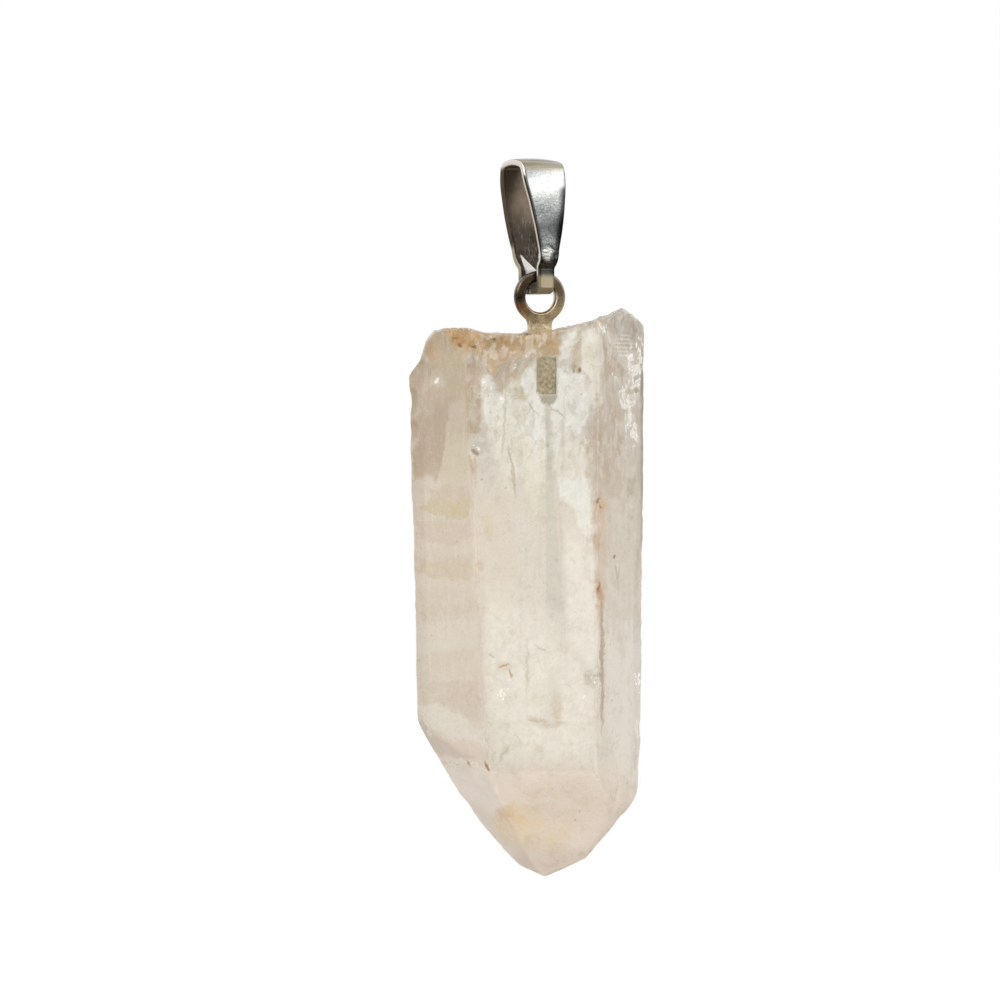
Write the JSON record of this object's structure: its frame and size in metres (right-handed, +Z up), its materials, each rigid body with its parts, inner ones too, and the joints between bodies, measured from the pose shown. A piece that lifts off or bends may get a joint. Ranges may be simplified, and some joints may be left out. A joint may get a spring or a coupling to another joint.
{
  "type": "crystal point pendant",
  "caption": "Rough hexagonal quartz point, drilled at its broken top for a metal eye peg, hung from a folded tapering strap bail.",
  "frame": {"origin": "the seat of the chain, at the inside top of the bail's loop", "axes": "+Z up along the hanging pendant, -Y towards its front face, +X towards the viewer's right"},
  "size_m": [0.0182, 0.0113, 0.0553],
  "materials": {
    "quartz": "natural faces, milky and veiled inside, iron stained at the top and the tip",
    "eye_metal": "worn silver-coloured plate, warm and slightly tarnished",
    "glue": "clear glossy adhesive",
    "bail_metal": "bright silver-coloured plate with fine scratches"
  },
  "bodies": {
    "bail": {"bail": "bail_metal"},
    "drop": {"crystal_point": "quartz", "eye_peg": "eye_metal", "glue_bead": "glue"}
  },
  "joints": [
    {"name": "drop_swing", "type": "hinge", "parent": "bail", "child": "drop", "pos_m": [0.00058, -0.00075, -0.01005], "axis": [0.2924, -0.9563, 0], "range_deg": [-70, 70]}
  ]
}
